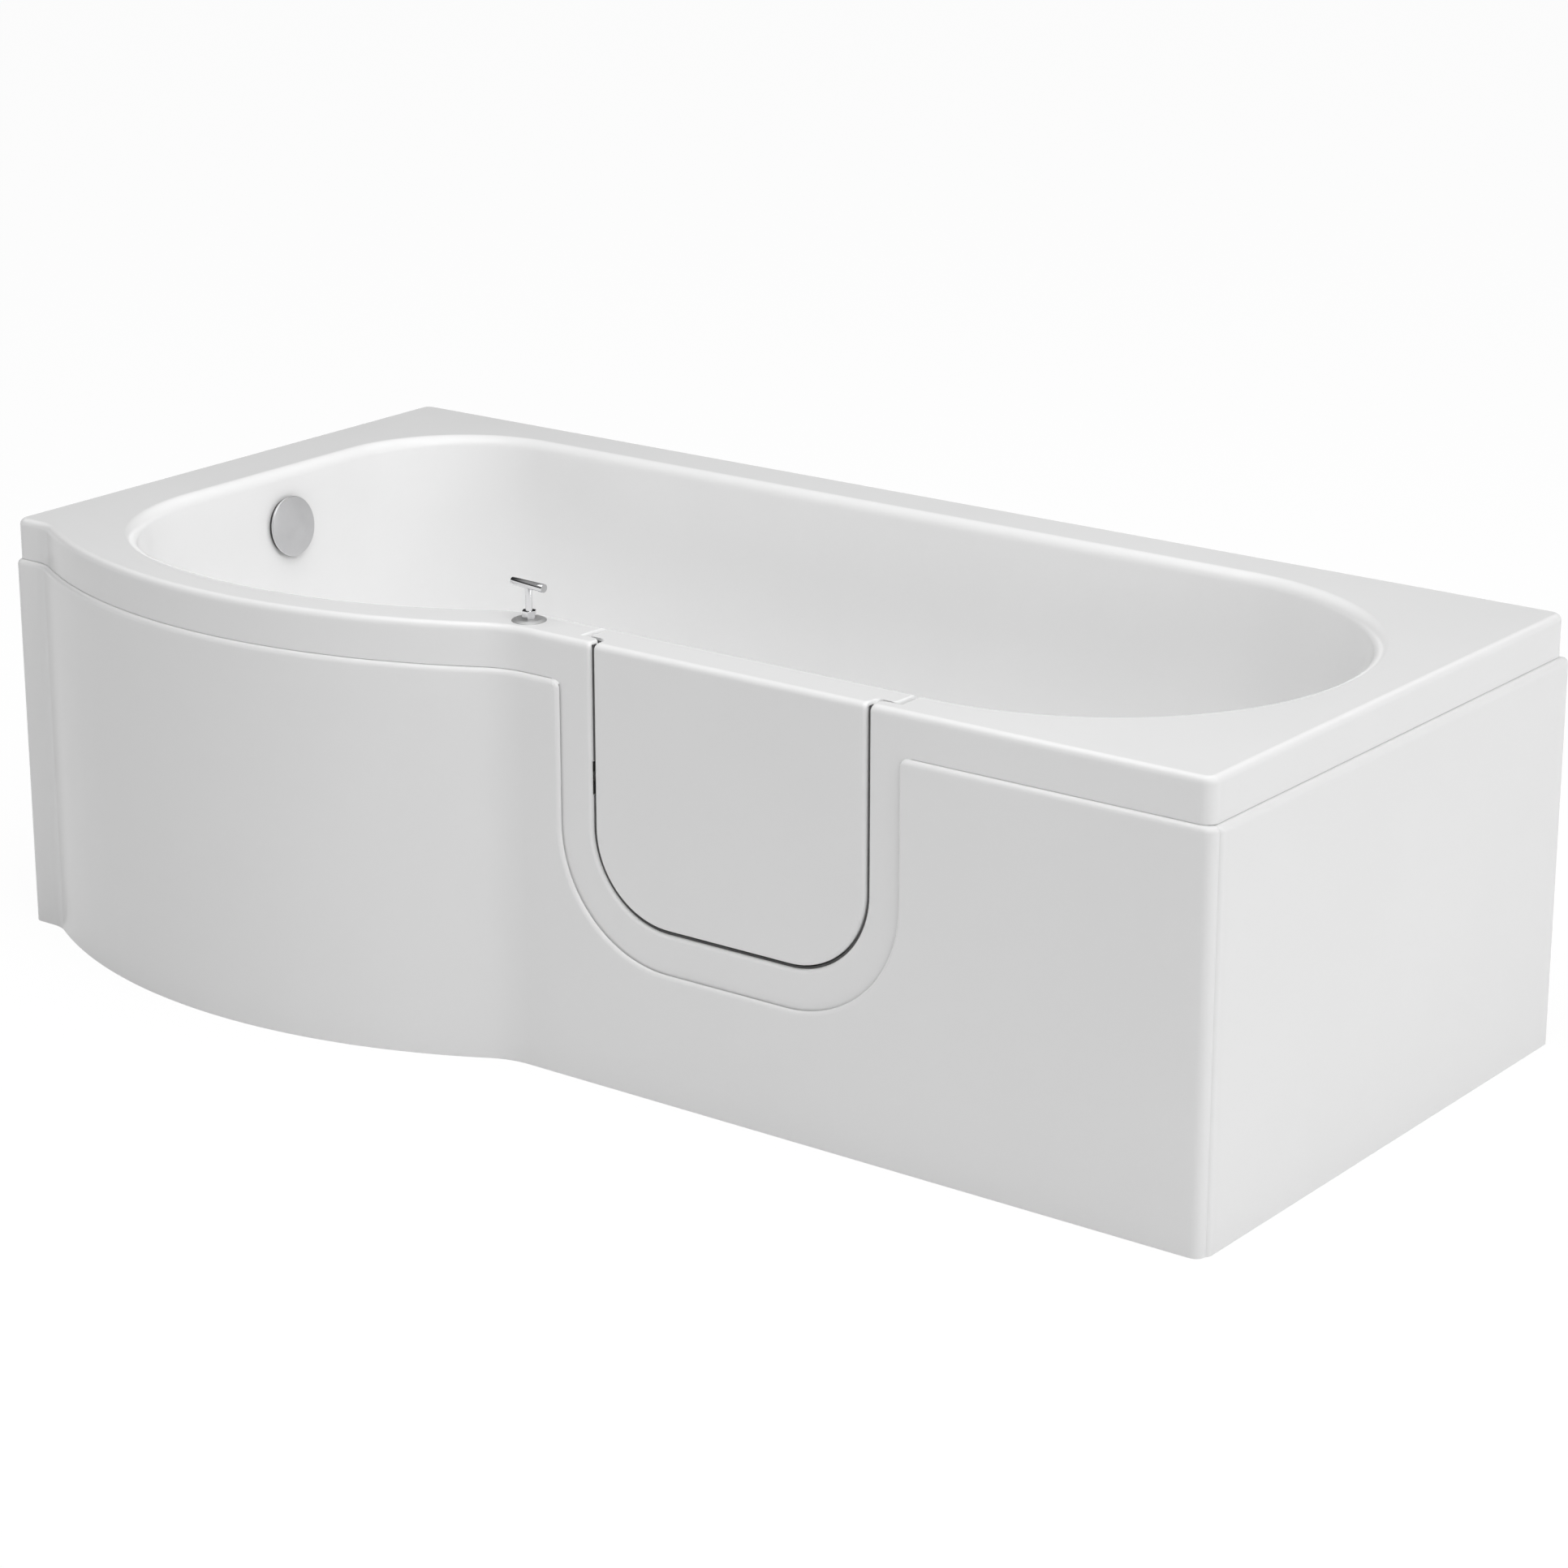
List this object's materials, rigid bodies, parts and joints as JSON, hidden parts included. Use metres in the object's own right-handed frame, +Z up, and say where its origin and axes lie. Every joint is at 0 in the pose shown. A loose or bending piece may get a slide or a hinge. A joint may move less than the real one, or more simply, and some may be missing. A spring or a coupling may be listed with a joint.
{
  "type": "p-shaped shower bath",
  "caption": "P-shaped shower bath with a bowed shower end, U-shaped inward-opening walk-in door with a chrome T-handle lock, bath panels, and a pop-up waste worked by the overflow cap",
  "frame": {"origin": "Centre of the bounding box seen from above, on the floor the bath stands on", "axes": "+X runs along the length from the shower end to the bathing end, +Y to the wall at the back, +Z up; the door faces -Y"},
  "size_m": [1.684, 0.8519, 0.5543],
  "materials": {
    "acrylic": "gloss",
    "panel": "gloss",
    "chrome": "polished",
    "stainless": "brushed",
    "zinc_steel": "zinc plated",
    "brass": "machined",
    "seal_rubber": "satin",
    "black_rubber": "matt",
    "black_plastic": "matt",
    "white_plastic": "satin",
    "timber": "sawn",
    "chipboard": "sanded"
  },
  "bodies": {
    "bath": {"bath_shell": "acrylic", "baseboard": "chipboard", "rim_batten_back": "timber", "rim_batten_left": "timber", "rim_batten_right": "timber", "cradle_left": "zinc_steel", "cradle_middle": "zinc_steel", "cradle_right": "zinc_steel", "cradle_screws": "zinc_steel", "foot_rods": "zinc_steel", "foot_nuts": "zinc_steel", "foot_pads": "black_plastic", "wall_brackets": "zinc_steel", "bracket_screws": "zinc_steel", "front_panel": "panel", "end_panel": "panel", "corner_post": "timber", "front_floor_batten": "timber", "end_floor_batten": "timber", "bow_floor_batten": "timber", "panel_clips": "zinc_steel", "hinge_frame_leaves": "stainless", "hinge_pins": "stainless", "hinge_frame_screws": "stainless", "handle_collar": "chrome", "handle_rosette": "chrome", "collar_backnut": "zinc_steel", "lock_case": "zinc_steel", "lock_cover": "zinc_steel", "lock_screws": "zinc_steel", "lock_faceplate": "stainless", "overflow_flange": "black_plastic", "overflow_gasket": "black_rubber", "overflow_body": "white_plastic", "overflow_pipe": "white_plastic", "popup_cable": "black_rubber", "waste_flange": "chrome", "waste_gasket": "black_rubber", "waste_body": "white_plastic"},
    "door": {"door": "acrylic", "door_seal": "seal_rubber", "hinge_door_leaves": "stainless", "hinge_door_screws": "stainless", "strike_plate": "stainless"},
    "lock_handle": {"handle_bar": "chrome", "handle_spindle": "chrome", "lock_pinion": "brass"},
    "lock_bolt": {"lock_bolt": "stainless"},
    "overflow_knob": {"overflow_cap": "chrome"},
    "waste_plug": {"waste_plug": "chrome", "plug_seal": "black_rubber"}
  },
  "joints": [
    {"name": "door_hinge", "type": "hinge", "parent": "bath", "child": "door", "pos_m": [0.4462, -0.2477, 0.3985], "axis": [0, 0, -1], "range_deg": [0, 90]},
    {"name": "handle_turn", "type": "hinge", "parent": "bath", "child": "lock_handle", "pos_m": [-0.063, -0.288, 0.5495], "axis": [0, 0, 1], "range_deg": [0, 90]},
    {"name": "bolt_slide", "type": "slide", "parent": "bath", "child": "lock_bolt", "axis": [1, 0, 0], "range_m": [0, 0.012]},
    {"name": "overflow_turn", "type": "hinge", "parent": "bath", "child": "overflow_knob", "pos_m": [-0.74068, 0.048, 0.438], "axis": [0.9932, 0, 0.1164], "range_deg": [0, 90]},
    {"name": "plug_lift", "type": "slide", "parent": "bath", "child": "waste_plug", "axis": [0, 0, 1], "range_m": [0, 0.012]}
  ],
  "couplings": [
    {"joint": "handle_turn", "follows": "bolt_slide", "rad_per_m": 130.9},
    {"joint": "plug_lift", "follows": "overflow_turn", "m_per_rad": 0.0076394}
  ]
}
